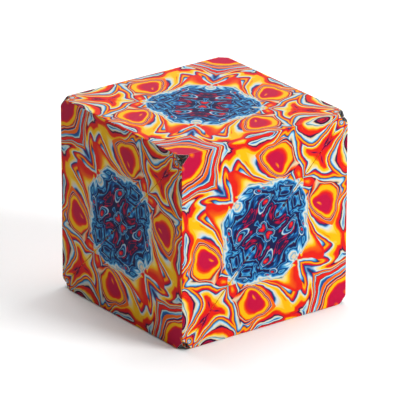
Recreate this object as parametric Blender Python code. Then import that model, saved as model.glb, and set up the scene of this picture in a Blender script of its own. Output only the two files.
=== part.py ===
"""Magnetic folding puzzle cube: a ring of twelve hollow wedges that fold about the cube's edges.

Each wedge fills one twelfth of the cube: half of one face, tapering to the cube's centre.
Its two short outer edges are film hinges to its neighbours in the ring, and its long outer
edge, a face diagonal, is an open seam. A wedge is a moulded tub, a printed cover plate that
plugs into the tub, and a disc magnet behind each of its three inner faces.
All sizes are in metres. The cube stands on the plane z = 0, centred on the z axis.
"""
import math

import bmesh
import bpy
from mathutils import Matrix, Vector

# --- driving dimensions -------------------------------------------------------------------
CUBE_SIDE = 0.057           # edge length of the closed cube
SEAM_CLEARANCE = 0.0002     # each wedge stays this far inside its own share of the cube
COVER_THICKNESS = 0.0012
GLUE_GAP = 0.0003           # between the cover plate and the tub, and around plugs and magnets
WALL = 0.0020               # tub walls
PLUG_DEPTH = 0.0015         # how far the cover's rim reaches into the tub
PLUG_WALL = 0.0010
MAGNET_DIAMETER = 0.008
MAGNET_THICKNESS = 0.0030
BOSS_WALL = 0.0011          # ring that holds a magnet
DISC_SIDES = 20

# How far each corner is cut back, measured from the sharp corner towards the wedge's middle.
TIP_CUT_SEAM = 0.0016       # the two acute corners, at the ends of the seam
TIP_CUT_SQUARE = 0.0009     # the right-angled corner, between the two hinges
TIP_CUT_CENTRE = 0.0030     # the corner at the cube's centre
COVER_EXTRA_CUT = 0.0004    # the cover's corners stop short of the tub's

# --- the ring -----------------------------------------------------------------------------
# Corners of the cube in units of its side. Three seams meet at each of the two star corners.
CORNERS = {
    "star_top": (1, 0, 1),
    "star_base": (0, 1, 0),
    "front_top": (0, 0, 1),
    "left_top": (0, 1, 1),
    "back_top": (1, 1, 1),
    "back_base": (1, 1, 0),
    "right_base": (1, 0, 0),
    "front_base": (0, 0, 0),
}

# The wedges in ring order: (seam corner, square corner, other seam corner) of the outer face.
# Each wedge is hinged to the next along the cube edge that their outer faces share.
WEDGES = [
    ("star_top", "front_top", "left_top"),
    ("star_base", "left_top", "front_top"),
    ("star_base", "left_top", "back_top"),
    ("star_top", "back_top", "left_top"),
    ("star_top", "back_top", "back_base"),
    ("star_base", "back_base", "back_top"),
    ("star_base", "back_base", "right_base"),
    ("star_top", "right_base", "back_base"),
    ("star_top", "right_base", "front_base"),
    ("star_base", "front_base", "right_base"),
    ("star_base", "front_base", "front_top"),
    ("star_top", "front_top", "front_base"),
]

# The fold tree starts at wedge 1. One arm runs forwards to wedge 6 and the other backwards to
# wedge 7, so the hinge between wedges 6 and 7 is the one that is left open.
FORWARD_ARM = [1, 2, 3, 4, 5, 6]
BACKWARD_ARM = [1, 12, 11, 10, 9, 8, 7]

# --- materials: name, colour, roughness, metallic -----------------------------------------
MATERIALS = {
    "tub": ((0.020, 0.020, 0.024, 1.0), 0.45, 0.0),
    "cover": ((0.100, 0.180, 0.620, 1.0), 0.38, 0.0),
    "magnet": ((0.620, 0.620, 0.640, 1.0), 0.25, 1.0),
}


# --- small helpers ------------------------------------------------------------------------
def clear_scene():
    for obj in list(bpy.data.objects):
        bpy.data.objects.remove(obj, do_unlink=True)


def new_material(name):
    colour, roughness, metallic = MATERIALS[name]
    material = bpy.data.materials.new(name)
    material.use_nodes = True
    shader = material.node_tree.nodes["Principled BSDF"]
    shader.inputs["Base Color"].default_value = colour
    shader.inputs["Roughness"].default_value = roughness
    shader.inputs["Metallic"].default_value = metallic
    return material


def temporary_object(name, bm):
    """Put a bmesh into an object that only serves the making of a piece."""
    mesh = bpy.data.meshes.new(name)
    bm.to_mesh(mesh)
    bm.free()
    obj = bpy.data.objects.new(name, mesh)
    bpy.context.scene.collection.objects.link(obj)
    return obj


def add_boolean(obj, cutter, operation):
    modifier = obj.modifiers.new(cutter.name, "BOOLEAN")
    modifier.object = cutter
    modifier.operation = operation
    modifier.solver = "EXACT"


def baked_mesh(obj, name, helpers=()):
    """Return the object's evaluated mesh and remove the object and its helpers."""
    bpy.context.view_layer.update()
    evaluated = obj.evaluated_get(bpy.context.evaluated_depsgraph_get())
    mesh = bpy.data.meshes.new_from_object(evaluated)
    mesh.name = name
    for item in (obj, *helpers):
        bpy.data.objects.remove(item, do_unlink=True)
    return mesh


# --- the wedge's geometry -----------------------------------------------------------------
# In a wedge's own axes the square corner is the origin, the hinges lie along +X and +Y, the
# outer face is z = 0 and the cube's centre is below the middle of the seam.
SQUARE_CORNER = Vector((0, 0, 0))
SEAM_CORNERS = (Vector((CUBE_SIDE, 0, 0)), Vector((0, CUBE_SIDE, 0)))
CUBE_CENTRE = Vector((CUBE_SIDE / 2, CUBE_SIDE / 2, -CUBE_SIDE / 2))
WEDGE_MIDDLE = (SQUARE_CORNER + SEAM_CORNERS[0] + SEAM_CORNERS[1] + CUBE_CENTRE) / 4

# Each inner face: its name, its inward normal and its three corners.
INNER_FACES = {
    "hinge_a": (Vector((0, 1, 1)).normalized(), (SQUARE_CORNER, SEAM_CORNERS[0], CUBE_CENTRE)),
    "hinge_b": (Vector((1, 0, 1)).normalized(), (SQUARE_CORNER, SEAM_CORNERS[1], CUBE_CENTRE)),
    "seam": (Vector((-1, -1, 0)).normalized(), (*SEAM_CORNERS, CUBE_CENTRE)),
}


def cut_away(bm, point, inward):
    """Keep the part of a convex solid on the inward side of a plane, and close the cut."""
    geometry = bm.verts[:] + bm.edges[:] + bm.faces[:]
    bmesh.ops.bisect_plane(bm, geom=geometry, dist=1e-7, plane_co=point, plane_no=inward,
                           clear_inner=True)
    rim = [edge for edge in bm.edges if edge.is_boundary]
    if rim:
        bmesh.ops.contextual_create(bm, geom=rim)


def wedge_solid(inset, top, bottom=None, extra_tip_cut=0.0):
    """A wedge with its inner faces set in by inset, from z = top down to bottom or its tip."""
    bm = bmesh.new()
    bmesh.ops.create_cube(bm, size=4 * CUBE_SIDE)
    cut_away(bm, Vector((0, 0, top)), Vector((0, 0, -1)))
    for inward, corners in INNER_FACES.values():
        cut_away(bm, corners[0] + inward * inset, inward)
    tips = [(SQUARE_CORNER, TIP_CUT_SQUARE), (CUBE_CENTRE, TIP_CUT_CENTRE)]
    tips += [(corner, TIP_CUT_SEAM) for corner in SEAM_CORNERS]
    for corner, cut in tips:
        inward = (WEDGE_MIDDLE - corner).normalized()
        cut_away(bm, corner + inward * (cut + inset + extra_tip_cut), inward)
    if bottom is not None:
        cut_away(bm, Vector((0, 0, bottom)), Vector((0, 0, 1)))
    bmesh.ops.recalc_face_normals(bm, faces=bm.faces[:])
    return bm


def magnet_place(face, depth):
    """Matrix whose z axis leaves the named inner face's centroid, raised by depth."""
    inward, corners = INNER_FACES[face]
    centroid = sum(corners, Vector()) / 3
    rotation = Vector((0, 0, 1)).rotation_difference(inward).to_matrix().to_4x4()
    return Matrix.Translation(centroid + inward * depth) @ rotation


def disc(radius, bottom, top, face=None):
    """A cylinder from bottom to top, measured inwards from an inner face or along z."""
    bm = bmesh.new()
    bmesh.ops.create_cone(bm, cap_ends=True, segments=DISC_SIDES, radius1=radius,
                          radius2=radius, depth=top - bottom)
    middle = (top + bottom) / 2
    place = magnet_place(face, middle) if face else Matrix.Translation((0, 0, middle))
    bmesh.ops.transform(bm, matrix=place, verts=bm.verts[:])
    return bm


# --- the pieces ---------------------------------------------------------------------------
TUB_TOP = -(COVER_THICKNESS + GLUE_GAP)
MAGNET_SEAT = WALL + GLUE_GAP                       # underside of a magnet, from the wall plane
MAGNET_RADIUS = MAGNET_DIAMETER / 2
POCKET_RADIUS = MAGNET_RADIUS + GLUE_GAP
BOSS_HEIGHT = MAGNET_SEAT + MAGNET_THICKNESS + SEAM_CLEARANCE


def tub_mesh():
    """The moulded tub: open under the cover, with three ring bosses for the magnets."""
    tub = temporary_object("tub", wedge_solid(SEAM_CLEARANCE, TUB_TOP))
    cavity = temporary_object("cavity", wedge_solid(SEAM_CLEARANCE + WALL, CUBE_SIDE))
    helpers = [cavity]
    for face in INNER_FACES:
        boss = temporary_object("boss_" + face, disc(
            POCKET_RADIUS + BOSS_WALL, SEAM_CLEARANCE + WALL / 2, BOSS_HEIGHT, face))
        add_boolean(cavity, boss, "DIFFERENCE")
        helpers.append(boss)
    add_boolean(tub, cavity, "DIFFERENCE")
    for face in INNER_FACES:
        pocket = temporary_object("pocket_" + face, disc(
            POCKET_RADIUS, SEAM_CLEARANCE + WALL, BOSS_HEIGHT + WALL, face))
        add_boolean(tub, pocket, "DIFFERENCE")
        helpers.append(pocket)
    return baked_mesh(tub, "tub", helpers)


def cover_mesh():
    """The printed plate: mitred to the hinge lines, with a rim that plugs into the tub."""
    cover = temporary_object("cover", wedge_solid(
        SEAM_CLEARANCE, 0, -COVER_THICKNESS, COVER_EXTRA_CUT))
    plug_inset = SEAM_CLEARANCE + WALL + GLUE_GAP
    plug_bottom = TUB_TOP - PLUG_DEPTH
    plug = temporary_object("plug", wedge_solid(
        plug_inset, -COVER_THICKNESS / 2, plug_bottom))
    hollow = temporary_object("plug_hollow", wedge_solid(
        plug_inset + PLUG_WALL, -COVER_THICKNESS, plug_bottom - PLUG_DEPTH))
    add_boolean(plug, hollow, "DIFFERENCE")
    add_boolean(cover, plug, "UNION")
    return baked_mesh(cover, "cover", [plug, hollow])


def magnet_mesh():
    """A disc magnet that stands on its own z = 0."""
    mesh = baked_mesh(temporary_object("magnet", disc(MAGNET_RADIUS, 0, MAGNET_THICKNESS)), "magnet")
    mesh.shade_smooth()
    mesh.set_sharp_from_angle(angle=math.radians(40))
    return mesh


# --- the assembly -------------------------------------------------------------------------
def corner_point(name):
    x, y, z = CORNERS[name]
    return Vector((x - 0.5, y - 0.5, z)) * CUBE_SIDE


def wedge_frame(wedge):
    """Matrix that takes the wedge's own axes to their place in the cube."""
    first, square, second = (corner_point(name) for name in wedge)
    centre = Vector((0, 0, CUBE_SIDE / 2))
    outward = ((first + second) / 2 - centre).normalized()
    along_a = (first - square).normalized()
    along_b = (second - square).normalized()
    if along_a.cross(along_b).dot(outward) < 0:
        along_a, along_b = along_b, along_a
    axes = Matrix((along_a, along_b, outward)).transposed()
    return Matrix.Translation(square) @ axes.to_4x4()


def shared_edge_middle(number, other):
    """The middle of the cube edge that hinges two neighbouring wedges."""
    shared = set(WEDGES[number - 1]) & set(WEDGES[other - 1])
    return sum((corner_point(name) for name in shared), Vector()) / 2


def add_pivots(collection):
    """One empty for each wedge, on the hinge that carries it, nested as the fold nests."""
    places = {1: Vector((0, 0, CUBE_SIDE))}
    pivots = {}
    for arm in (FORWARD_ARM, BACKWARD_ARM):
        for parent, number in zip([None] + arm, arm):
            if number in pivots:
                continue
            if parent is not None:
                places[number] = shared_edge_middle(parent, number)
            pivot = bpy.data.objects.new(f"wedge_{number:02d}_pivot", None)
            pivot.empty_display_size = CUBE_SIDE / 10
            pivot.parent = pivots.get(parent)
            pivot.location = places[number] - places.get(parent, Vector())
            collection.objects.link(pivot)
            pivots[number] = pivot
    return pivots, places


def add_piece(collection, name, mesh, world, pivot, pivot_place):
    piece = bpy.data.objects.new(name, mesh)
    piece.parent = pivot
    piece.matrix_local = Matrix.Translation(-pivot_place) @ world
    collection.objects.link(piece)


def build():
    clear_scene()
    collection = bpy.data.collections.new("magnetic_folding_cube")
    bpy.context.scene.collection.children.link(collection)
    meshes = {"tub": tub_mesh(), "cover": cover_mesh(), "magnet": magnet_mesh()}
    for name, mesh in meshes.items():
        mesh.materials.clear()
        mesh.materials.append(new_material(name))
    pivots, places = add_pivots(collection)
    for number, wedge in enumerate(WEDGES, start=1):
        world = wedge_frame(wedge)
        wedge_name = f"wedge_{number:02d}"
        add_piece(collection, wedge_name + "_tub", meshes["tub"], world, pivots[number],
                  places[number])
        add_piece(collection, wedge_name + "_cover", meshes["cover"], world, pivots[number],
                  places[number])
        for face in INNER_FACES:
            seat = world @ magnet_place(face, MAGNET_SEAT)
            add_piece(collection, f"{wedge_name}_magnet_{face}", meshes["magnet"], seat,
                      pivots[number], places[number])


build()
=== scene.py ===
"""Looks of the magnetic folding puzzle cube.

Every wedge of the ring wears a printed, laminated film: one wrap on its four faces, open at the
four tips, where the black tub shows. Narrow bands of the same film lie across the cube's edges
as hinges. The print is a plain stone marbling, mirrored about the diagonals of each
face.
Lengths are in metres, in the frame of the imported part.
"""
import math

import bmesh
import bpy
from bpy.props import FloatProperty, FloatVectorProperty, PointerProperty
from bpy.types import Operator, Panel, PropertyGroup
from mathutils import Matrix, Vector


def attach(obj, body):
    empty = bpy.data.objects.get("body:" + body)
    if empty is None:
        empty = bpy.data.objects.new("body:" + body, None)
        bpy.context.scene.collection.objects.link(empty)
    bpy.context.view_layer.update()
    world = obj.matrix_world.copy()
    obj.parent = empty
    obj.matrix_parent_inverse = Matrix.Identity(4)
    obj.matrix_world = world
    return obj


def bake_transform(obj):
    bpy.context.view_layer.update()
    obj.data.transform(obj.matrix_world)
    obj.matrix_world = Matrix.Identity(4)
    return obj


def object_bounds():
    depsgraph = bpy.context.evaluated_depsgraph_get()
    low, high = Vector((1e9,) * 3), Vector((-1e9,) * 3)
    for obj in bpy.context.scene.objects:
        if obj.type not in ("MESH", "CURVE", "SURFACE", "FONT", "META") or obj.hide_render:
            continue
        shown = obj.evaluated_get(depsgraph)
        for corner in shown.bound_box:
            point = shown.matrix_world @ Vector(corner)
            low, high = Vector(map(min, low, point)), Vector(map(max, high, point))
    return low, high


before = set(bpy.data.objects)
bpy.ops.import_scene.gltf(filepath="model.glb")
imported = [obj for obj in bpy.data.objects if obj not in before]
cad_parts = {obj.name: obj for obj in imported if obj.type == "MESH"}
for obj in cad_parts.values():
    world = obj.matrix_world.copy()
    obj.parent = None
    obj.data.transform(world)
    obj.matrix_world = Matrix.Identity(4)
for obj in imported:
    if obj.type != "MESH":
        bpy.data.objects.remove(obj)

bl_info = {
    "name": "Folding Cube Looks",
    "version": (1, 0, 0),
    "blender": (4, 5, 0),
    "location": "View3D > Sidebar > Folding Cube",
    "description": "Dresses a magnetic folding puzzle cube in printed film and sets its stage",
    "category": "Object",
}

CAD_LOW, CAD_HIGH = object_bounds()
SIDE = CAD_HIGH.z - CAD_LOW.z
CENTRE = (CAD_LOW + CAD_HIGH) / 2

# Corners of the cube in units of its side, and the wedges in ring order by the corners of their
# outer faces: (seam corner, square corner, other seam corner).
CORNERS = {
    "star_top": (1, 0, 1),
    "star_base": (0, 1, 0),
    "front_top": (0, 0, 1),
    "left_top": (0, 1, 1),
    "back_top": (1, 1, 1),
    "back_base": (1, 1, 0),
    "right_base": (1, 0, 0),
    "front_base": (0, 0, 0),
}
WEDGES = [
    ("star_top", "front_top", "left_top"),
    ("star_base", "left_top", "front_top"),
    ("star_base", "left_top", "back_top"),
    ("star_top", "back_top", "left_top"),
    ("star_top", "back_top", "back_base"),
    ("star_base", "back_base", "back_top"),
    ("star_base", "back_base", "right_base"),
    ("star_top", "right_base", "back_base"),
    ("star_top", "right_base", "front_base"),
    ("star_base", "front_base", "right_base"),
    ("star_base", "front_base", "front_top"),
    ("star_top", "front_top", "front_base"),
]
OPEN_HINGE = (6, 7)          # the one hinge of the ring that has no joint

MAGNET_FACES = ("hinge_a", "hinge_b", "seam")


def wedge_name(number):
    return f"wedge_{number:02d}"


# --- settings that a user would change ----------------------------------------------------
def length(name, description, default):
    return FloatProperty(name=name, description=description, default=default, min=0.0,
                         precision=5, unit="LENGTH", subtype="DISTANCE")


def number(name, description, default):
    return FloatProperty(name=name, description=description, default=default)


def angle(name, description, degrees):
    return FloatProperty(name=name, description=description, default=math.radians(degrees),
                         subtype="ANGLE", unit="ROTATION")


def colour(name, description, default):
    return FloatVectorProperty(name=name, description=description, default=default, size=3,
                               min=0.0, max=1.0, subtype="COLOR")


class FilmSettings(PropertyGroup):
    thickness: length("Thickness", "Thickness of the laminated film", 0.00010)
    air: length("Air", "Gap between a wedge's film and the plane it shares with the next", 0.00006)
    edge_radius: length("Edge Radius", "Rounding where the film wraps a wedge's edge", 0.00013)
    hinge_radius: length("Hinge Radius", "Rounding of a closed hinge", 0.0004)
    hinge_reach: length("Hinge Reach", "How far a hinge band runs onto each face", 0.0009)
    square_window: length("Square Window", "Depth of the film's cut at a square corner", 0.00165)
    seam_window: length("Seam Window", "Depth of the film's cut at a seam corner", 0.0025)
    centre_window: length("Centre Window", "Depth of the film's cut at the cube's centre", 0.0040)
    roughness: number("Roughness", "Roughness of the film's satin surface", 0.50)


class PrintColours(PropertyGroup):
    crimson: colour("Crimson", "Cores of the stones", (0.45, 0.0027, 0.0405))
    red: colour("Red", "Warm bands", (0.648, 0.0117, 0.0054))
    orange: colour("Orange", "Bands between red and yellow", (0.747, 0.117, 0.0018))
    yellow: colour("Yellow", "Broad rings", (0.783, 0.414, 0.0018))
    lemon: colour("Lemon", "Pale yellow lights", (0.756, 0.576, 0.108))
    cream: colour("Cream", "Thin pale contour lines", (0.666, 0.522, 0.324))
    ice: colour("Ice", "Palest blue, nearly white", (0.45, 0.612, 0.684))
    sky: colour("Sky", "Light blue wisps", (0.072, 0.342, 0.558))
    blue: colour("Blue", "Clear blue of the middle", (0.0027, 0.099, 0.324))
    navy: colour("Navy", "Dark ground of the middle", (0.007, 0.009, 0.055))
    plum: colour("Plum", "Dark contour lines", (0.030, 0.003, 0.028))
    teal: colour("Teal", "Green-blue lines", (0.018, 0.171, 0.198))


class PrintPattern(PropertyGroup):
    swirl: number("Swirl", "How strongly the marbling drags the stones", 0.32)
    ripple: number("Ripple", "How strongly the fine marbling drags the lines", 0.035)
    ground_swirl: number("Ground Swirl", "How strongly the ground between stones swirls", 1.10)
    band_width: number("Band Width", "Width of a run of contour lines, in half diagonals", 0.40)
    stone_cells: number("Stone Cells", "Stones in a row along a face's half diagonal", 2.4)
    pool_size: number("Pool Size", "Radius of the blue middle, in half diagonals", 0.40)


class StageSettings(PropertyGroup):
    azimuth: angle("Azimuth", "Turn of the camera from the front towards the left", 36.55)
    elevation: angle("Elevation", "Height of the camera above the horizon", 21.9)
    distance: length("Distance", "From the camera to the cube's middle", 1.2758)
    lens: number("Lens", "Focal length in millimetres", 410.6)
    floor_colour: colour("Floor Colour", "Pale floor", (0.95, 0.95, 0.95))


# --- shader arithmetic --------------------------------------------------------------------
class Value:
    """One number of a shader, so that a formula reads as a formula and becomes nodes."""

    def __init__(self, tree, socket):
        self.tree = tree
        self.socket = socket

    def math(self, operation, *others):
        node = self.tree.nodes.new("ShaderNodeMath")
        node.operation = operation
        for slot, item in zip(node.inputs, (self, *others)):
            plug(self.tree, slot, item)
        return Value(self.tree, node.outputs[0])

    def __add__(self, other):
        return self.math("ADD", other)

    def __sub__(self, other):
        return self.math("SUBTRACT", other)

    def __mul__(self, other):
        return self.math("MULTIPLY", other)

    def __truediv__(self, other):
        return self.math("DIVIDE", other)

    def __abs__(self):
        return self.math("ABSOLUTE")

    def squared(self):
        return self.math("MULTIPLY", self)

    def root(self):
        return self.math("SQRT")

    def fraction(self):
        return self.math("FRACT")

    def above(self, limit):
        """1 above the limit and 0 below it."""
        return self.math("GREATER_THAN", limit)

    def rising(self, low, high):
        """0 below low and 1 above high, smooth in between; the other way round if low > high."""
        node = self.tree.nodes.new("ShaderNodeMapRange")
        node.interpolation_type = "SMOOTHSTEP"
        plug(self.tree, node.inputs["Value"], self)
        node.inputs["From Min"].default_value = low
        node.inputs["From Max"].default_value = high
        return Value(self.tree, node.outputs["Result"])


def plug(tree, slot, item):
    """Feed a node's input from a Value, a socket or a plain number or colour."""
    if isinstance(item, Value):
        tree.links.new(item.socket, slot)
    elif isinstance(item, bpy.types.NodeSocket):
        tree.links.new(item, slot)
    else:
        slot.default_value = item


def distance(across, along):
    return (across.squared() + along.squared()).root()


def point(tree, x, y, z=0.0):
    node = tree.nodes.new("ShaderNodeCombineXYZ")
    for slot, item in zip(node.inputs, (x, y, z)):
        plug(tree, slot, item)
    return node.outputs[0]


def noise(tree, where, scale, detail=2.0, roughness=0.5, distortion=0.0):
    """Three independent noises, each about 0.5, from one texture."""
    node = tree.nodes.new("ShaderNodeTexNoise")
    tree.links.new(where, node.inputs["Vector"])
    node.inputs["Scale"].default_value = scale
    node.inputs["Detail"].default_value = detail
    node.inputs["Roughness"].default_value = roughness
    node.inputs["Distortion"].default_value = distortion
    split = tree.nodes.new("ShaderNodeSeparateColor")
    tree.links.new(node.outputs["Color"], split.inputs[0])
    return [Value(tree, socket) for socket in split.outputs]


def ramp(tree, value, stops, colours):
    """Colour bands: stops are (place, colour name), from 0 to 1."""
    node = tree.nodes.new("ShaderNodeValToRGB")
    tree.links.new(value.socket, node.inputs[0])
    elements = node.color_ramp.elements
    while len(elements) < len(stops):
        elements.new(1.0)
    for element, (place, name) in zip(elements, stops):
        element.position = place
        element.color = (*getattr(colours, name), 1.0)
    return node.outputs["Color"]


def mix(tree, share, under, over):
    node = tree.nodes.new("ShaderNodeMix")
    node.data_type = "RGBA"
    plug(tree, node.inputs["Factor"], share)
    plug(tree, node.inputs["A"], under)
    plug(tree, node.inputs["B"], over)
    return node.outputs["Result"]


# Runs of colour, as shares of a shape's reach from its middle outwards.
EMBER_BANDS = [
    (0.00, "yellow"), (0.05, "orange"), (0.11, "crimson"), (0.34, "crimson"), (0.45, "red"),
    (0.50, "orange"), (0.54, "yellow"), (0.67, "yellow"), (0.71, "orange"), (0.74, "red"),
    (0.77, "plum"), (0.80, "cream"), (0.83, "orange"), (0.86, "red"), (0.89, "plum"),
    (0.92, "navy"), (0.95, "blue"), (0.98, "cream"), (1.00, "orange"),
]
PLUM_BANDS = [
    (0.00, "orange"), (0.12, "yellow"), (0.18, "red"), (0.34, "red"), (0.38, "plum"),
    (0.44, "crimson"), (0.48, "plum"), (0.58, "plum"), (0.62, "cream"), (0.67, "ice"),
    (0.71, "teal"), (0.75, "cream"), (0.81, "lemon"), (0.86, "yellow"), (0.92, "orange"),
    (1.00, "red"),
]
PALE_BANDS = [
    (0.00, "sky"), (0.08, "ice"), (0.16, "cream"), (0.22, "ice"), (0.28, "sky"),
    (0.33, "navy"), (0.41, "blue"), (0.46, "navy"), (0.50, "sky"), (0.54, "cream"),
    (0.59, "lemon"), (0.68, "yellow"), (0.74, "orange"), (0.80, "red"), (0.87, "crimson"),
    (0.91, "plum"), (0.95, "crimson"), (1.00, "red"),
]
POOL_STONE_BANDS = [
    (0.00, "orange"), (0.14, "red"), (0.38, "crimson"), (0.46, "plum"), (0.58, "navy"),
    (0.64, "sky"), (0.70, "navy"), (0.84, "blue"), (0.91, "ice"), (1.00, "navy"),
]
POOL_BANDS = [
    (0.00, "navy"), (0.10, "navy"), (0.14, "plum"), (0.18, "navy"), (0.24, "blue"),
    (0.26, "sky"), (0.28, "navy"), (0.38, "navy"), (0.41, "plum"), (0.44, "crimson"),
    (0.46, "navy"), (0.53, "navy"), (0.57, "blue"), (0.59, "sky"), (0.61, "plum"),
    (0.64, "navy"), (0.70, "navy"), (0.74, "blue"), (0.77, "sky"), (0.79, "navy"),
    (0.84, "blue"), (0.88, "sky"), (0.91, "ice"), (0.94, "cream"), (0.96, "sky"),
    (0.98, "cream"), (1.00, "yellow"),
]
GROUND_BANDS = [
    (0.00, "cream"), (0.04, "lemon"), (0.08, "yellow"), (0.15, "yellow"), (0.19, "orange"),
    (0.24, "red"), (0.34, "red"), (0.38, "crimson"), (0.41, "plum"), (0.44, "navy"),
    (0.47, "cream"), (0.52, "ice"), (0.56, "sky"), (0.59, "blue"), (0.62, "plum"),
    (0.65, "orange"), (0.70, "yellow"), (0.75, "orange"), (0.79, "red"), (0.86, "crimson"),
    (0.90, "navy"), (0.93, "blue"), (0.96, "ice"), (1.00, "cream"),
]

# Limits on a cell's random number, which settles what the cell holds.
STONE_CHANCE = 0.30          # above it, a stone
PLUM_CHANCE = 0.55           # above it, a plum one
PALE_CHANCE = 0.78           # above it, a pale one
POOL_STONE_CHANCE = 0.40     # above it, a cell of a pool holds a stone

CELL_RANDOMNESS = 0.85
STONE_NARROWING = 0.72       # across a cell, so that stones lie longer than wide
STONE_LEAST = 0.48           # size of the smallest stone, as a share of its cell
STONE_SPREAD = 0.28          # how much larger the largest one is
GROUND_RINGS = 0.45          # how much the ground's lines follow the cells
FLOW_BEND = 0.9              # how far the ground's folds are dragged
POOL_CELLS = 6.5             # stones in a row along a half diagonal, inside a pool
POOL_STONE = 0.48            # size of a pool's stone, as a share of its cell
POOL_CORE = (0.88, 0.80)     # from a pool's middle, where its stones end
RIM = (1.0, 0.97)            # the soft edge of a shape, in shares of its reach
INNER_POOL_HEIGHT = 0.27     # of the pool's middle on an inner face, in half diagonals
INNER_POOL_SHARE = 0.5       # of the outer pools' size

OUTER_SEED = 58.0
INNER_SEED = 64.0


def print_coordinates(tree):
    """The two coordinates of a print, in units of the cube's side."""
    uv = tree.nodes.new("ShaderNodeUVMap")
    uv.uv_map = "print"
    split = tree.nodes.new("ShaderNodeSeparateXYZ")
    tree.links.new(uv.outputs[0], split.inputs[0])
    return [Value(tree, socket) for socket in split.outputs[:2]]


def stones(tree, across, along, cells, seed):
    """Random cells: 0 in a cell's middle and 1 on its border, and two random numbers for it."""
    where = point(tree, across + seed, along)
    cell = {}
    for feature in ("F1", "F2"):
        node = tree.nodes.new("ShaderNodeTexVoronoi")
        node.voronoi_dimensions = "2D"
        node.feature = feature
        node.inputs["Scale"].default_value = cells
        node.inputs["Randomness"].default_value = CELL_RANDOMNESS
        tree.links.new(where, node.inputs["Vector"])
        cell[feature] = node
    nearest, second = (Value(tree, cell[name].outputs["Distance"]) for name in ("F1", "F2"))
    split = tree.nodes.new("ShaderNodeSeparateColor")
    tree.links.new(cell["F1"].outputs["Color"], split.inputs[0])
    return nearest / second, Value(tree, split.outputs[0]), Value(tree, split.outputs[1])


def drag_along(tree, pattern, across, along, seed):
    """Coordinates dragged about as ink is on a marbling bath."""
    drag = noise(tree, point(tree, across, along, seed), 2.6, 1.5)
    shiver = noise(tree, point(tree, across, along, seed + 7.0), 10.0, 2.0)
    across = across + (drag[0] - 0.5) * pattern.swirl + (shiver[0] - 0.5) * pattern.ripple
    along = along + (drag[1] - 0.5) * pattern.swirl + (shiver[1] - 0.5) * pattern.ripple
    return across, along


def paint_stones(tree, colours, pattern, across, along, seed):
    """Ringed stones of ink at random places, in a ground of contour lines around them."""
    narrow = across * STONE_NARROWING
    border, chance, luck = stones(tree, narrow, along, pattern.stone_cells, seed)
    rings = border * GROUND_RINGS
    under = paint_ground(tree, colours, pattern, rings, across, along, seed + 3.0)
    share = border / (luck * STONE_SPREAD + STONE_LEAST)
    shake = noise(tree, point(tree, across, along, seed + 9.0), 4.0, 0.4, 0.5, 0.6)
    share = share + (shake[1] - 0.5) * 0.60
    shaken = share + (shake[0] - 0.5) * share
    stone = ramp(tree, shaken, EMBER_BANDS, colours)
    for limit, bands in ((PLUM_CHANCE, PLUM_BANDS), (PALE_CHANCE, PALE_BANDS)):
        stone = mix(tree, chance.above(limit), stone, ramp(tree, shaken, bands, colours))
    held = share.rising(*RIM) * chance.above(STONE_CHANCE)
    return mix(tree, held, under, stone)


def paint_ground(tree, colours, pattern, field, across, along, seed):
    """Contour lines of a field, dragged into long flowing folds."""
    flow = noise(tree, point(tree, across, along, seed), 2.4, 0.4)
    bent_across = across + (flow[0] - 0.5) * FLOW_BEND
    bent_along = along + (flow[1] - 0.5) * FLOW_BEND
    fold = noise(tree, point(tree, bent_across, bent_along, seed + 1.5), 2.8, 0.5, 0.5, 0.6)
    run = (field + (fold[0] - 0.5) * pattern.ground_swirl) / pattern.band_width
    return ramp(tree, run.fraction(), GROUND_BANDS, colours)


def paint_pool(tree, under, colours, share, across, along, seed):
    """A dark blue pool with light wisps and small stones of colour, frayed at its rim."""
    wisp = noise(tree, point(tree, across, along, seed + 5.0), 4.8, 1.6, 0.5, 2.2)
    calming = share.rising(1.15, 0.65)
    stirred = share * 0.93 + 0.05 + (wisp[0] - 0.5) * calming * 1.15
    frayed = share + (wisp[1] - 0.5) * 0.45
    paint = lay(tree, under, frayed, stirred, POOL_BANDS, colours)
    border, chance, _ = stones(tree, across, along, POOL_CELLS, seed + 4.0)
    stone = border / POOL_STONE
    held = share.rising(*POOL_CORE) * chance.above(POOL_STONE_CHANCE) * stone.rising(*RIM)
    return mix(tree, held, paint, ramp(tree, stone, POOL_STONE_BANDS, colours))


def lay(tree, under, share, paint_share, stops, colours):
    """Lay a shape's bands over what is under it, inside its rim."""
    return mix(tree, share.rising(*RIM), under, ramp(tree, paint_share, stops, colours))


def face_print(tree, colours, pattern, seed):
    """The print of an outer face: stone marbling mirrored about both diagonals, blue inside."""
    x, y = print_coordinates(tree)
    inwards = x + y
    sideways = abs(x - y)
    inwards, sideways = drag_along(tree, pattern, inwards, sideways, seed)
    paint = paint_stones(tree, colours, pattern, inwards, sideways, seed)
    pool = distance(inwards - 1.0, sideways) / pattern.pool_size
    return paint_pool(tree, paint, colours, pool, inwards, sideways, seed)


def inner_print(tree, colours, pattern, seed):
    """The print of a wedge's inner faces: the same marbling, mirrored about each one's middle."""
    aside, height = print_coordinates(tree)
    aside, height = drag_along(tree, pattern, abs(aside), height, seed)
    aside = aside * math.sqrt(2)
    height = height * math.sqrt(2)
    paint = paint_stones(tree, colours, pattern, aside, height, seed)
    pool = distance(aside, height - INNER_POOL_HEIGHT) / (pattern.pool_size * INNER_POOL_SHARE)
    return paint_pool(tree, paint, colours, pool, aside, height, seed)


# --- materials ----------------------------------------------------------------------------
def new_material(name):
    """A material with its tree and its shader."""
    material = bpy.data.materials.new(name)
    material.use_nodes = True
    return material, material.node_tree, material.node_tree.nodes["Principled BSDF"]


def add_bump(tree, shader, height, strength, depth):
    node = tree.nodes.new("ShaderNodeBump")
    node.inputs["Strength"].default_value = strength
    node.inputs["Distance"].default_value = depth
    plug(tree, node.inputs["Height"], height)
    tree.links.new(node.outputs[0], shader.inputs["Normal"])


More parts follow.
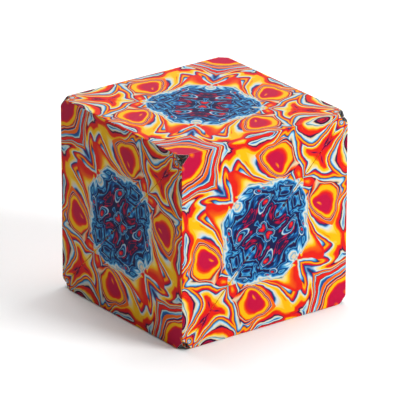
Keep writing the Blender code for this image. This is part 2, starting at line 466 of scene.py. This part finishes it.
def object_noise(tree, scale, detail=2.0):
    place = tree.nodes.new("ShaderNodeTexCoord")
    return noise(tree, place.outputs["Object"], scale, detail)


def film_material(name, make_print, settings, seed):
    """Satin laminated film over a printed sheet."""
    material, tree, shader = new_material(name)
    paint = make_print(tree, settings.colours, settings.pattern, seed)
    tree.links.new(paint, shader.inputs["Base Color"])
    grain = object_noise(tree, 2600.0, 1.0)
    wave = object_noise(tree, 90.0)
    scuff = object_noise(tree, 420.0, 3.0)
    roughness = (scuff[1] - 0.5) * 0.14 + settings.film.roughness
    tree.links.new(roughness.socket, shader.inputs["Roughness"])
    shader.inputs["Specular IOR Level"].default_value = 0.06
    add_bump(tree, shader, grain[0] * 0.12 + wave[0], 0.5, 0.00006)
    return material


def cut_edge_material():
    """The film's cut edge: pale clear laminate with a dusty roughness."""
    material, tree, shader = new_material("film_cut_edge")
    dust = object_noise(tree, 1500.0)
    tree.links.new(mix(tree, dust[0], (0.72, 0.68, 0.60, 1.0), (0.90, 0.88, 0.84, 1.0)),
                   shader.inputs["Base Color"])
    shader.inputs["Roughness"].default_value = 0.55
    return material


def tub_material():
    """Moulded black plastic with a fine spark-eroded texture and handling shine."""
    material, tree, shader = new_material("black_moulded_plastic")
    grain = object_noise(tree, 2200.0, 2.0)
    cloud = object_noise(tree, 160.0, 3.0)
    tree.links.new(mix(tree, cloud[0], (0.003, 0.003, 0.0035, 1.0), (0.008, 0.008, 0.009, 1.0)),
                   shader.inputs["Base Color"])
    tree.links.new(((cloud[1] - 0.5) * 0.25 + 0.42).socket, shader.inputs["Roughness"])
    shader.inputs["Specular IOR Level"].default_value = 0.1
    add_bump(tree, shader, grain[0], 0.4, 0.00005)
    return material


def cover_material():
    """The plate under the film: the tub's black plastic, moulded smoother."""
    material, tree, shader = new_material("black_plate_plastic")
    cloud = object_noise(tree, 240.0, 3.0)
    tree.links.new(mix(tree, cloud[0], (0.012, 0.012, 0.014, 1.0), (0.03, 0.03, 0.032, 1.0)),
                   shader.inputs["Base Color"])
    tree.links.new(((cloud[1] - 0.5) * 0.2 + 0.40).socket, shader.inputs["Roughness"])
    add_bump(tree, shader, object_noise(tree, 2000.0)[0], 0.3, 0.00004)
    return material


def magnet_material():
    """Bright nickel plating with a faint turned grain and small stains."""
    material, tree, shader = new_material("nickel_plating")
    stain = object_noise(tree, 600.0, 4.0)
    tree.links.new(mix(tree, stain[0], (0.52, 0.50, 0.47, 1.0), (0.74, 0.73, 0.70, 1.0)),
                   shader.inputs["Base Color"])
    shader.inputs["Metallic"].default_value = 1.0
    tree.links.new(((stain[1] - 0.5) * 0.3 + 0.24).socket, shader.inputs["Roughness"])
    add_bump(tree, shader, object_noise(tree, 3000.0)[0], 0.15, 0.00002)
    return material


def floor_material(tint):
    """Matt pale paper."""
    material, tree, shader = new_material("pale_paper")
    fibre = object_noise(tree, 800.0, 4.0)
    tone = tuple(0.98 * channel for channel in tint)
    tree.links.new(mix(tree, fibre[0], (*tone, 1.0), (*tint, 1.0)), shader.inputs["Base Color"])
    shader.inputs["Roughness"].default_value = 0.9
    return material


def give(obj, *materials):
    obj.data.materials.clear()
    for material in materials:
        obj.data.materials.append(material)


# --- the wedge's own geometry -------------------------------------------------------------
# In a wedge's own axes the square corner is the origin, the hinges lie along +X and +Y, the
# outer face is z = 0 and the cube's centre is below the middle of the seam.
SQUARE_CORNER = Vector((0, 0, 0))
SEAM_CORNERS = (Vector((SIDE, 0, 0)), Vector((0, SIDE, 0)))
CUBE_CENTRE = Vector((SIDE / 2, SIDE / 2, -SIDE / 2))
WEDGE_MIDDLE = (SQUARE_CORNER + SEAM_CORNERS[0] + SEAM_CORNERS[1] + CUBE_CENTRE) / 4
INNER_NORMALS = {
    "hinge_a": Vector((0, 1, 1)).normalized(),
    "hinge_b": Vector((1, 0, 1)).normalized(),
    "seam": Vector((-1, -1, 0)).normalized(),
}


def corner_point(name):
    x, y, z = CORNERS[name]
    return Vector((x - 0.5, y - 0.5, z)) * SIDE + Vector((CENTRE.x, CENTRE.y, CAD_LOW.z))


def wedge_frame(number_in_ring):
    """Matrix from a wedge's own axes to its place in the cube."""
    first, square, second = (corner_point(name) for name in WEDGES[number_in_ring - 1])
    outward = ((first + second) / 2 - CENTRE).normalized()
    along_a = (first - square).normalized()
    along_b = (second - square).normalized()
    if along_a.cross(along_b).dot(outward) < 0:
        along_a, along_b = along_b, along_a
    axes = Matrix((along_a, along_b, outward)).transposed()
    return Matrix.Translation(square) @ axes.to_4x4()


def new_object(name, mesh):
    obj = bpy.data.objects.new(name, mesh)
    bpy.context.scene.collection.objects.link(obj)
    return obj


def mesh_from(name, bm):
    mesh = bpy.data.meshes.new(name)
    bm.to_mesh(mesh)
    bm.free()
    return mesh


def cut_away(bm, place, inward, close=True, keep_both=False):
    """Cut a solid or sheet with a plane and keep its inward side."""
    geometry = bm.verts[:] + bm.edges[:] + bm.faces[:]
    bmesh.ops.bisect_plane(bm, geom=geometry, dist=1e-8, plane_co=place, plane_no=inward,
                           clear_inner=not keep_both)
    rim = [edge for edge in bm.edges if edge.is_boundary]
    if close and rim:
        bmesh.ops.contextual_create(bm, geom=rim)


def wedge_body(inset, top):
    """The wedge as a sharp solid, its inner faces set in by inset and its outer face at top."""
    bm = bmesh.new()
    bmesh.ops.create_cube(bm, size=4 * SIDE)
    cut_away(bm, Vector((0, 0, top)), Vector((0, 0, -1)))
    for name, inward in INNER_NORMALS.items():
        corner = SEAM_CORNERS[0] if name == "seam" else SQUARE_CORNER
        cut_away(bm, corner + inward * inset, inward)
    bmesh.ops.recalc_face_normals(bm, faces=bm.faces[:])
    return bm


def which_face(normal):
    """Name of the wedge's face that a normal belongs to."""
    best = "outer"
    best_match = normal.z
    for name, inward in INNER_NORMALS.items():
        match = -normal.dot(inward)
        if match > best_match:
            best, best_match = name, match
    return best


def print_place(face, co):
    """Where a point lies on its face's print, in units of the cube's side."""
    if face == "outer":
        return co.x / SIDE, co.y / SIDE
    if face == "hinge_a":
        return co.x / SIDE - 0.5, math.hypot(co.y, co.z) / SIDE
    if face == "hinge_b":
        return co.y / SIDE - 0.5, math.hypot(co.x, co.z) / SIDE
    return (co.x - co.y) / SIDE / math.sqrt(2), -co.z / SIDE


def apply_print_map(mesh, place_of):
    """Write the print's places into the mesh, one for each corner of each face."""
    layer = mesh.uv_layers.new(name="print")
    for polygon in mesh.polygons:
        for loop in polygon.loop_indices:
            co = mesh.vertices[mesh.loops[loop].vertex_index].co
            layer.data[loop].uv = place_of(polygon, co)


def windows(film):
    """The planes that cut the film off at a wedge's tips: (point, direction to keep)."""
    depths = ((SQUARE_CORNER, film.square_window), (SEAM_CORNERS[0], film.seam_window),
              (SEAM_CORNERS[1], film.seam_window), (CUBE_CENTRE, film.centre_window))
    planes = []
    for corner, depth in depths:
        keep = (WEDGE_MIDDLE - corner).normalized()
        planes.append((corner + keep * depth, keep))
    return planes


def wrap_mesh(film):
    """The film around one wedge, as an open sheet with straight cuts at the tips."""
    bm = wedge_body(film.air, film.thickness)
    hinge_edges = [edge for edge in bm.edges
                   if all(v.co.z > 0 for v in edge.verts) and not is_seam_edge(edge)]
    rounded = [edge for edge in bm.edges if edge not in hinge_edges]
    bmesh.ops.bevel(bm, geom=rounded, offset=film.edge_radius, segments=3, affect="EDGES",
                    profile=0.5, offset_type="WIDTH")
    for place, keep in windows(film):
        cut_away(bm, place, keep, close=False)
    for axis in (Vector((1, 0, 0)), Vector((0, 1, 0))):
        cut_away(bm, axis * film.hinge_reach, axis, close=False, keep_both=True)
        cut_away(bm, axis * film.hinge_radius, axis, close=False, keep_both=True)
    doomed = [face for face in bm.faces if under_hinge(face, film)]
    bmesh.ops.delete(bm, geom=doomed, context="FACES")
    mesh = mesh_from("film_wrap", bm)
    faces = [which_face(polygon.normal) for polygon in mesh.polygons]
    for polygon, face in zip(mesh.polygons, faces):
        polygon.material_index = 0 if face == "outer" else 1
    apply_print_map(mesh, lambda polygon, co: print_place(faces[polygon.index], co))
    mesh.shade_smooth()
    return mesh


def is_seam_edge(edge):
    return all(v.co.x + v.co.y > 0.9 * SIDE for v in edge.verts)


def under_hinge(face, film):
    """True for the margins along the hinges, where the hinge bands take over."""
    middle = face.calc_center_median()
    from_hinge = min(middle.x, middle.y)
    if face.normal.z > 0.5:
        return from_hinge < film.hinge_reach
    return from_hinge < film.hinge_radius and middle.z > -SIDE / 4


def thicken(obj, film, rim_slot):
    modifier = obj.modifiers.new("film thickness", "SOLIDIFY")
    modifier.thickness = film.thickness
    modifier.offset = -1.0
    modifier.use_even_offset = True
    modifier.material_offset_rim = rim_slot
    smooth = obj.modifiers.new("flat faces", "WEIGHTED_NORMAL")
    smooth.keep_sharp = True
    smooth.weight = 100


# --- hinge bands --------------------------------------------------------------------------
HINGE_ARC_STEPS = 8          # in the quarter turn of a closed hinge
HINGE_STATIONS = 24          # along a hinge


def shared_corners(first, second):
    return sorted(set(WEDGES[first - 1]) & set(WEDGES[second - 1]))


def hinge_section(film):
    """Half of a closed band's outline: (depth under the other face, depth under this one)."""
    reach, radius = film.hinge_reach, film.hinge_radius
    centre = radius - film.thickness
    half = [(reach, -film.thickness)]
    for step in range(HINGE_ARC_STEPS // 2 + 1):
        turn = math.radians(90) * step / HINGE_ARC_STEPS
        half.append((centre - radius * math.sin(turn), centre - radius * math.cos(turn)))
    return half


def hinge_mesh(first, second, film, halves):
    """A band of film along the edge that two wedges share, printed like their faces."""
    start, end = (corner_point(name) for name in shared_corners(first, second))
    along = (end - start).normalized()
    outward = {wedge: wedge_frame(wedge).to_3x3().col[2] for wedge in (first, second)}
    strips = []
    for this, other in ((first, second), (second, first)):
        rows = [-outward[other] * across - outward[this] * depth
                for across, depth in hinge_section(film)]
        strips.append((this, rows))
    strips[1] = (strips[1][0], strips[1][1][::-1])
    kept = [strip for strip, wanted in zip(strips, halves) if wanted]

    bm = bmesh.new()
    layer = bm.loops.layers.uv.new("print")
    for this, rows in kept:
        from_wedge = wedge_frame(this)
        into_wedge = from_wedge.inverted()
        cuts = [(from_wedge @ place, from_wedge.to_3x3() @ keep) for place, keep in windows(film)]
        grid = []
        for offset in rows:
            low = cut_along(start + offset, along, cuts)
            high = cut_along(end + offset, -along, cuts)
            grid.append([bm.verts.new(low.lerp(high, step / HINGE_STATIONS))
                         for step in range(HINGE_STATIONS + 1)])
        for low, high in zip(grid, grid[1:]):
            for step in range(HINGE_STATIONS):
                corners = (low[step], low[step + 1], high[step + 1], high[step])
                face = bm.faces.new(corners)
                for loop in face.loops:
                    x, y, _ = into_wedge @ loop.vert.co
                    loop[layer].uv = (x / SIDE, y / SIDE)
    bmesh.ops.remove_doubles(bm, verts=bm.verts[:], dist=1e-7)
    outside = (start + end) / 2 - CENTRE
    if sum((face.normal.dot(outside) for face in update_normals(bm)), 0.0) < 0:
        bmesh.ops.reverse_faces(bm, faces=bm.faces[:])
    mesh = mesh_from(f"hinge_film_{first:02d}_{second:02d}", bm)
    mesh.shade_smooth()
    return mesh


def cut_along(place, along, cuts):
    """Where a line that starts at a tip comes out of the planes that cut the film off there."""
    gaps = [(cut - place).dot(keep) / along.dot(keep) for cut, keep in cuts
            if along.dot(keep) > 0 and (cut - place).length < SIDE / 2]
    return place + along * max(gaps)


def update_normals(bm):
    bm.normal_update()
    return bm.faces


def bend_hinge(obj, first, second, film):
    """Bake the band's place into its mesh; it is not bent, and the points worked out at its middle
    are not used.
    """
    start, end = (corner_point(name) for name in shared_corners(first, second))
    middle = (start + end) / 2
    first_out = wedge_frame(first).to_3x3().col[2]
    second_out = wedge_frame(second).to_3x3().col[2]
    reach = film.hinge_radius
    tuple(middle - second_out * reach)
    tuple(middle - first_out * reach)
    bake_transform(obj)


# --- operators ----------------------------------------------------------------------------
class FOLDCUBE_OT_tubs(Operator):
    """Give the twelve moulded tubs and the plates in them their plastic"""
    bl_idname = "foldcube.tubs"
    bl_label = "Tubs and Plates"

    def execute(self, context):
        tub, plate = tub_material(), cover_material()
        for index in range(1, len(WEDGES) + 1):
            give(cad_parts[wedge_name(index) + "_tub"], tub)
            give(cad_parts[wedge_name(index) + "_cover"], plate)
        return {"FINISHED"}


class FOLDCUBE_OT_magnets(Operator):
    """Give the thirty-six disc magnets their nickel plating"""
    bl_idname = "foldcube.magnets"
    bl_label = "Magnets"

    def execute(self, context):
        nickel = magnet_material()
        for index in range(1, len(WEDGES) + 1):
            for face in MAGNET_FACES:
                give(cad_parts[f"{wedge_name(index)}_magnet_{face}"], nickel)
        return {"FINISHED"}


class FOLDCUBE_OT_wraps(Operator):
    """Wrap each wedge in printed film"""
    bl_idname = "foldcube.wraps"
    bl_label = "Film Wraps"

    def execute(self, context):
        settings = context.scene.foldcube
        mesh = wrap_mesh(settings.film)
        for material in shared_film(settings):
            mesh.materials.append(material)
        for index in range(1, len(WEDGES) + 1):
            wrap = new_object(wedge_name(index) + "_film_wrap", mesh)
            wrap.matrix_world = wedge_frame(index)
            thicken(wrap, settings.film, rim_slot=2)
            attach(wrap, wedge_name(index))
        return {"FINISHED"}


class FOLDCUBE_OT_hinges(Operator):
    """Bridge the cube's edges with bands of film"""
    bl_idname = "foldcube.hinges"
    bl_label = "Film Hinges"

    def execute(self, context):
        settings = context.scene.foldcube
        ring = range(1, len(WEDGES) + 1)
        for first, second in zip(ring, (*ring[1:], 1)):
            if (first, second) == OPEN_HINGE:
                for rider, halves in ((first, (True, False)), (second, (False, True))):
                    band = self.band(settings, first, second, halves, f"_on_{rider:02d}")
                    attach(band, wedge_name(rider))
            else:
                band = self.band(settings, first, second, (True, True), "")
                bend_hinge(band, first, second, settings.film)
        return {"FINISHED"}

    @staticmethod
    def band(settings, first, second, halves, suffix):
        mesh = hinge_mesh(first, second, settings.film, halves)
        band = new_object(mesh.name + suffix, mesh)
        give(band, *shared_film(settings))
        thicken(band, settings.film, rim_slot=2)
        return band


def shared_film(settings):
    """The film's three materials: outer print, inner print and cut edge, made once."""
    made = bpy.data.materials.get("printed_film_outer")
    if made is None:
        film_material("printed_film_outer", face_print, settings, OUTER_SEED)
        film_material("printed_film_inner", inner_print, settings, INNER_SEED)
        cut_edge_material()
    names = ("printed_film_outer", "printed_film_inner", "film_cut_edge")
    return [bpy.data.materials[name] for name in names]


class FOLDCUBE_OT_stage(Operator):
    """Set the pale floor, the soft lights and the camera"""
    bl_idname = "foldcube.stage"
    bl_label = "Stage"

    def execute(self, context):
        stage = context.scene.foldcube.stage
        lay_floor(stage)
        hang_lights()
        aim_camera(context.scene, stage)
        light_world(context.scene)
        context.scene.view_settings.view_transform = "Standard"
        return {"FINISHED"}


# Name, place from the cube's middle, size and power in watts.
LIGHTS = [
    ("key_right", (0.42, -0.80, 0.46), 0.45, 10.2),
    ("top", (0.05, 0.10, 1.00), 0.7, 6.2),
    ("wash", (0.55, 0.75, 0.45), 0.8, 2.5),
    ("rear_right", (1.10, 0.18, 0.42), 0.6, 5.5),
    ("rear_left", (0.05, 1.10, 0.42), 0.6, 5.5),
]
WORLD_STRENGTH = 0.03
AIM_OFFSET = (-0.00101, 0.00010, 0.0)    # of the camera, across and up its own view
FLOOR_DROP = 1.5                         # below the cube, in film thicknesses


def lay_floor(stage):
    bm = bmesh.new()
    bmesh.ops.create_grid(bm, x_segments=8, y_segments=8, size=40 * SIDE)
    floor = new_object("floor", mesh_from("floor", bm))
    floor.location.z = CAD_LOW.z - FLOOR_DROP * bpy.context.scene.foldcube.film.thickness
    give(floor, floor_material(stage.floor_colour))


def soft_light(name, place, size, power):
    data = bpy.data.lights.new(name, "AREA")
    data.shape = "SQUARE"
    data.size = size
    data.energy = power
    light = new_object(name, data)
    light.location = CENTRE + Vector(place)
    light.rotation_euler = (CENTRE - light.location).to_track_quat("-Z", "Y").to_euler()


def hang_lights():
    for light in LIGHTS:
        soft_light(*light)


def light_world(scene):
    world = bpy.data.worlds.new("studio")
    world.use_nodes = True
    background = world.node_tree.nodes["Background"]
    background.inputs["Color"].default_value = (1.0, 1.0, 1.0, 1.0)
    background.inputs["Strength"].default_value = WORLD_STRENGTH
    scene.world = world


def aim_camera(scene, stage):
    data = bpy.data.cameras.new("camera")
    data.lens = stage.lens
    data.clip_end = 20.0
    camera = new_object("camera", data)
    across = math.cos(stage.elevation)
    back = Vector((-math.sin(stage.azimuth) * across, -math.cos(stage.azimuth) * across,
                   math.sin(stage.elevation)))
    turn = back.to_track_quat("Z", "Y")
    aside = turn @ Vector(AIM_OFFSET)
    camera.location = CENTRE + back * stage.distance + aside
    camera.rotation_euler = turn.to_euler()
    scene.camera = camera


class FoldCubeSettings(PropertyGroup):
    film: PointerProperty(type=FilmSettings, name="Film", description="Sizes of the film")
    colours: PointerProperty(type=PrintColours, name="Colours", description="Inks of the print")
    pattern: PointerProperty(type=PrintPattern, name="Pattern", description="Marbling")
    stage: PointerProperty(type=StageSettings, name="Stage", description="Camera and floor")


STEPS = (FOLDCUBE_OT_tubs, FOLDCUBE_OT_magnets, FOLDCUBE_OT_wraps, FOLDCUBE_OT_hinges,
         FOLDCUBE_OT_stage)


class FOLDCUBE_PT_sidebar(Panel):
    """The cube's steps and settings"""
    bl_idname = "FOLDCUBE_PT_sidebar"
    bl_label = "Folding Cube"
    bl_space_type = "VIEW_3D"
    bl_region_type = "UI"
    bl_category = "Folding Cube"

    def draw(self, context):
        layout = self.layout
        for step in STEPS:
            layout.operator(step.bl_idname)
        settings = context.scene.foldcube
        for group in (settings.film, settings.colours, settings.pattern, settings.stage):
            box = layout.box()
            for name in group.__annotations__:
                box.prop(group, name)


CLASSES = (FilmSettings, PrintColours, PrintPattern, StageSettings, FoldCubeSettings, *STEPS,
           FOLDCUBE_PT_sidebar)


def register():
    for item in CLASSES:
        bpy.utils.register_class(item)
    bpy.types.Scene.foldcube = PointerProperty(type=FoldCubeSettings)


def unregister():
    del bpy.types.Scene.foldcube
    for item in reversed(CLASSES):
        bpy.utils.unregister_class(item)


def main():
    register()
    for step in STEPS:
        group, name = step.bl_idname.split(".")
        getattr(getattr(bpy.ops, group), name)()


if __name__ == "__main__":
    main()
